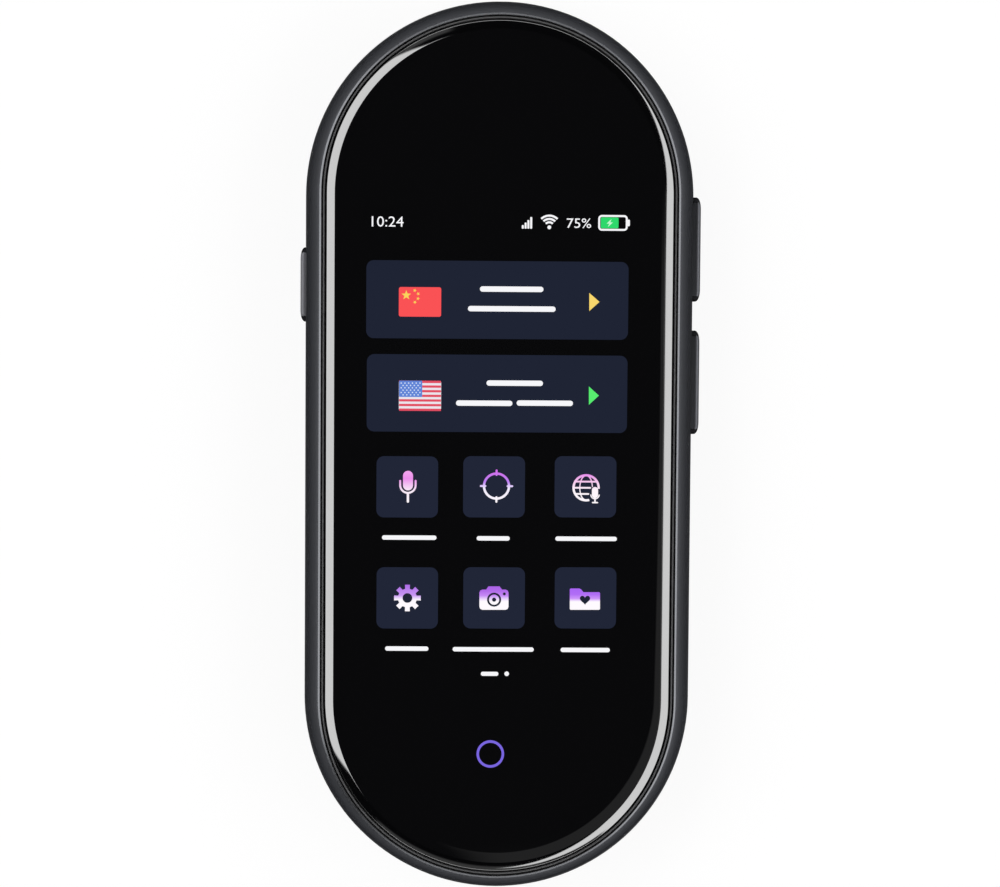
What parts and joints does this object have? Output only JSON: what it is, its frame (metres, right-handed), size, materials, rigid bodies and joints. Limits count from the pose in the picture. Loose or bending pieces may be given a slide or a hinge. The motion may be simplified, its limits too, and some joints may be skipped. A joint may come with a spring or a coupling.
{
  "type": "handheld translator",
  "caption": "Slate-form handheld translator with round ends, a glass touch display, home ring, side talk and power keys, rear camera and USB-C socket.",
  "frame": {"origin": "centre of the flat back", "axes": "+Y towards the top end along the body, +Z out of the screen, +X to the right as the screen is read"},
  "size_m": [0.0577, 0.1282, 0.012],
  "materials": {
    "frame_metal": "dark grey anodised, fine bead-blasted satin",
    "key_metal": "dark grey anodised satin, brighter on the rounded edge",
    "cover_plastic": "soft-touch dark grey",
    "cover_glass": "black-backed gloss glass with lit graphics",
    "rubber": "dull dark grey",
    "tape": "matt black foam tape",
    "display": "dark display stack",
    "backlight": "white diffuser with a steel tray",
    "flex": "amber polyimide film",
    "board": "green solder mask",
    "shield": "tinned steel",
    "steel": "nickel-plated steel",
    "connector": "cream moulding",
    "black_plastic": "fine black moulding",
    "battery": "dark laminate pouch",
    "foam": "open foam",
    "lens": "coated dark glass",
    "diffuser": "milky light guide"
  },
  "bodies": {
    "housing": {"mid_frame": "frame_metal", "rear_cover": "cover_plastic", "cover_tape": "tape", "front_glass": "cover_glass", "glass_gasket": "rubber", "display_tape": "tape", "display_cell": "display", "backlight_unit": "backlight", "display_flex": "flex", "display_connector": "connector", "home_key_board": "board", "home_light_guide": "diffuser", "upper_talk_switch": "steel", "lower_talk_switch": "steel", "power_switch": "steel", "talk_key_bracket": "steel", "talk_key_flex": "flex", "power_key_bracket": "steel", "power_key_flex": "flex", "main_board": "board", "processor_shield": "shield", "radio_shield": "shield", "battery_connector": "connector", "main_board_connector": "connector", "camera_module": "black_plastic", "camera_lens": "lens", "camera_light_seal": "foam", "camera_trim": "steel", "camera_window": "lens", "flash_light_pipe": "diffuser", "flash_lamp": "connector", "battery_cell": "battery", "battery_pad": "tape", "battery_flex": "flex", "lower_board": "board", "usb_socket": "steel", "usb_socket_tongue": "black_plastic", "lower_board_connector": "connector", "board_flex": "flex", "speaker_module": "black_plastic", "speaker_mesh": "steel", "speaker_gasket": "foam", "upper_microphone": "shield", "upper_microphone_boot": "rubber", "lower_microphone": "shield", "lower_microphone_boot": "rubber", "antenna_patch": "flex", "board_screw_1": "steel", "board_screw_2": "steel", "board_screw_3": "steel", "lower_board_screw_1": "steel", "lower_board_screw_2": "steel", "speaker_screw_1": "steel", "speaker_screw_2": "steel"},
    "upper_talk_key": {"upper_talk_key": "key_metal", "upper_talk_plunger": "black_plastic"},
    "lower_talk_key": {"lower_talk_key": "key_metal", "lower_talk_plunger": "black_plastic"},
    "power_key": {"power_key": "key_metal", "power_plunger": "black_plastic"}
  },
  "joints": [
    {"name": "upper_talk_press", "type": "slide", "parent": "housing", "child": "upper_talk_key", "axis": [-1, 0, 0], "range_m": [0, 0.0004], "stiffness_N_per_m": 2000, "springref_m": -0.0001},
    {"name": "lower_talk_press", "type": "slide", "parent": "housing", "child": "lower_talk_key", "axis": [-1, 0, 0], "range_m": [0, 0.0004], "stiffness_N_per_m": 2000, "springref_m": -0.0001},
    {"name": "power_press", "type": "slide", "parent": "housing", "child": "power_key", "axis": [1, 0, 0], "range_m": [0, 0.0004], "stiffness_N_per_m": 2000, "springref_m": -0.0001}
  ]
}
